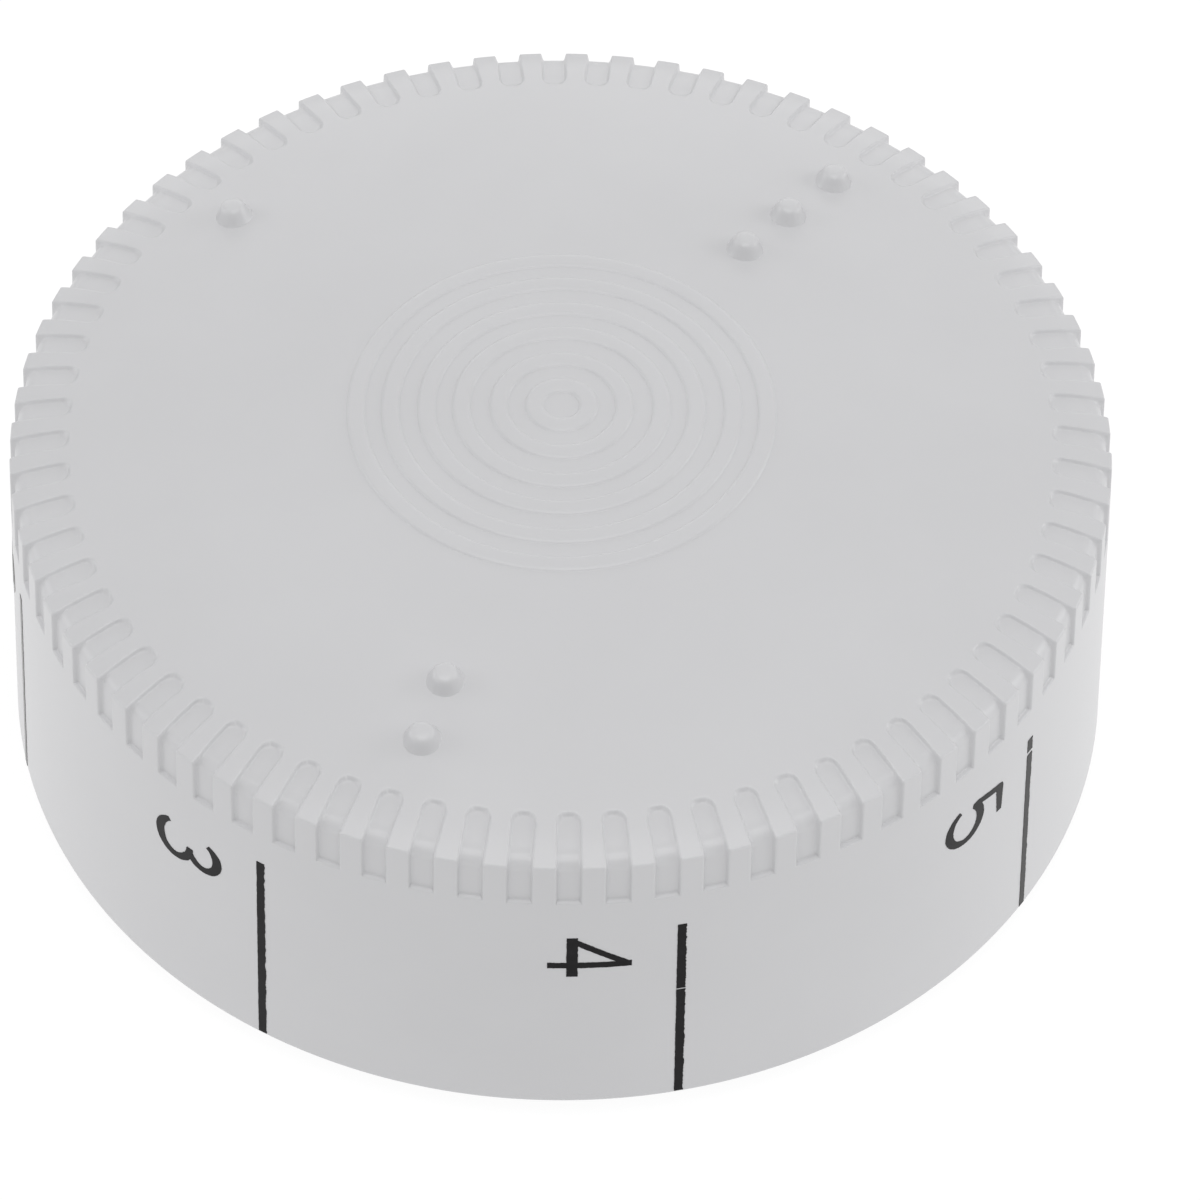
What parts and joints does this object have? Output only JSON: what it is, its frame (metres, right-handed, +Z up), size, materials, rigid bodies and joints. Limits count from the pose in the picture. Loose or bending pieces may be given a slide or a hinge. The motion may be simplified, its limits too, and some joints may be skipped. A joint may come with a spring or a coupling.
{
  "type": "kitchen timer",
  "caption": "Round wind-up kitchen timer: fluted domed dial cap with tactile dots and a printed scale, turning on a low base that holds a clockwork train, bell and hammer.",
  "frame": {"origin": "centre of the timer on the plane that the foot ring rests on", "axes": "+Z up through the dial's axis; +Y towards the index lug and scale line 0; scale line 4 at -Y"},
  "size_m": [0.076, 0.076, 0.03],
  "materials": {
    "cap_plastic": "fine moulded texture, matte",
    "scale_ink": "printed ink",
    "base_plastic": "fine moulded texture, matte",
    "foot_rubber": "matte",
    "screw_steel": "zinc plated",
    "plate_steel": "satin",
    "arbor_steel": "turned",
    "spring_steel": "blued",
    "lever_steel": "stamped",
    "bell_steel": "polished",
    "wheel_brass": "satin"
  },
  "bodies": {
    "base": {"base_housing": "base_plastic", "bottom_cover": "base_plastic", "foot_ring": "foot_rubber", "cover_screws": "screw_steel", "movement_screws": "screw_steel", "bottom_plate": "plate_steel", "top_plate": "plate_steel", "plate_pillars": "plate_steel", "stop_pins": "plate_steel", "spring_stud": "plate_steel", "mainspring": "spring_steel", "bell": "bell_steel", "bell_post": "plate_steel", "bell_screw": "screw_steel", "hammer_spring": "spring_steel"},
    "dial": {"dial_cap": "cap_plastic", "scale_marks": "scale_ink", "main_arbor": "arbor_steel", "main_wheel": "wheel_brass", "friction_washer": "spring_steel", "clutch_collar": "wheel_brass", "arbor_clip": "spring_steel", "alarm_cam": "lever_steel"},
    "second": {"second_arbor": "arbor_steel", "second_pinion": "wheel_brass", "second_wheel": "wheel_brass"},
    "third": {"third_arbor": "arbor_steel", "third_pinion": "wheel_brass", "third_wheel": "wheel_brass"},
    "escape": {"escape_arbor": "arbor_steel", "escape_pinion": "wheel_brass", "escape_wheel": "wheel_brass"},
    "balance": {"balance_arbor": "arbor_steel", "pallet_lever": "lever_steel", "pallet_pins": "arbor_steel", "balance_bar": "lever_steel"},
    "hammer": {"hammer_arbor": "arbor_steel", "release_lever": "lever_steel", "hammer_arm": "lever_steel", "hammer_head": "wheel_brass"}
  },
  "joints": [
    {"name": "dial_turn", "type": "hinge", "parent": "base", "child": "dial", "pos_m": [0, 0, 0.015], "axis": [0, 0, -1], "range_deg": [0, 270]},
    {"name": "second_spin", "type": "hinge", "parent": "base", "child": "second", "pos_m": [-0.01175, -0.00428, 0.015], "axis": [0, 0, -1], "range_deg": [-1080, 0]},
    {"name": "third_spin", "type": "hinge", "parent": "base", "child": "third", "pos_m": [-0.0076, -0.01351, 0.015], "axis": [0, 0, -1], "range_deg": [0, 4320]},
    {"name": "escape_spin", "type": "hinge", "parent": "base", "child": "escape", "pos_m": [0.00001, -0.016, 0.015], "axis": [0, 0, -1], "range_deg": [-17280, 0]},
    {"name": "balance_swing", "type": "hinge", "parent": "base", "child": "balance", "pos_m": [0.00671, -0.01507, 0.015], "axis": [0, 0, -1], "range_deg": [-4, 4]},
    {"name": "hammer_strike", "type": "hinge", "parent": "base", "child": "hammer", "pos_m": [0.01078, 0.0097, 0.015], "axis": [0, 0, -1], "range_deg": [-5, 0]}
  ],
  "couplings": [
    {"joint": "second_spin", "follows": "dial_turn", "ratio": -4},
    {"joint": "third_spin", "follows": "dial_turn", "ratio": 16},
    {"joint": "escape_spin", "follows": "dial_turn", "ratio": -64}
  ]
}
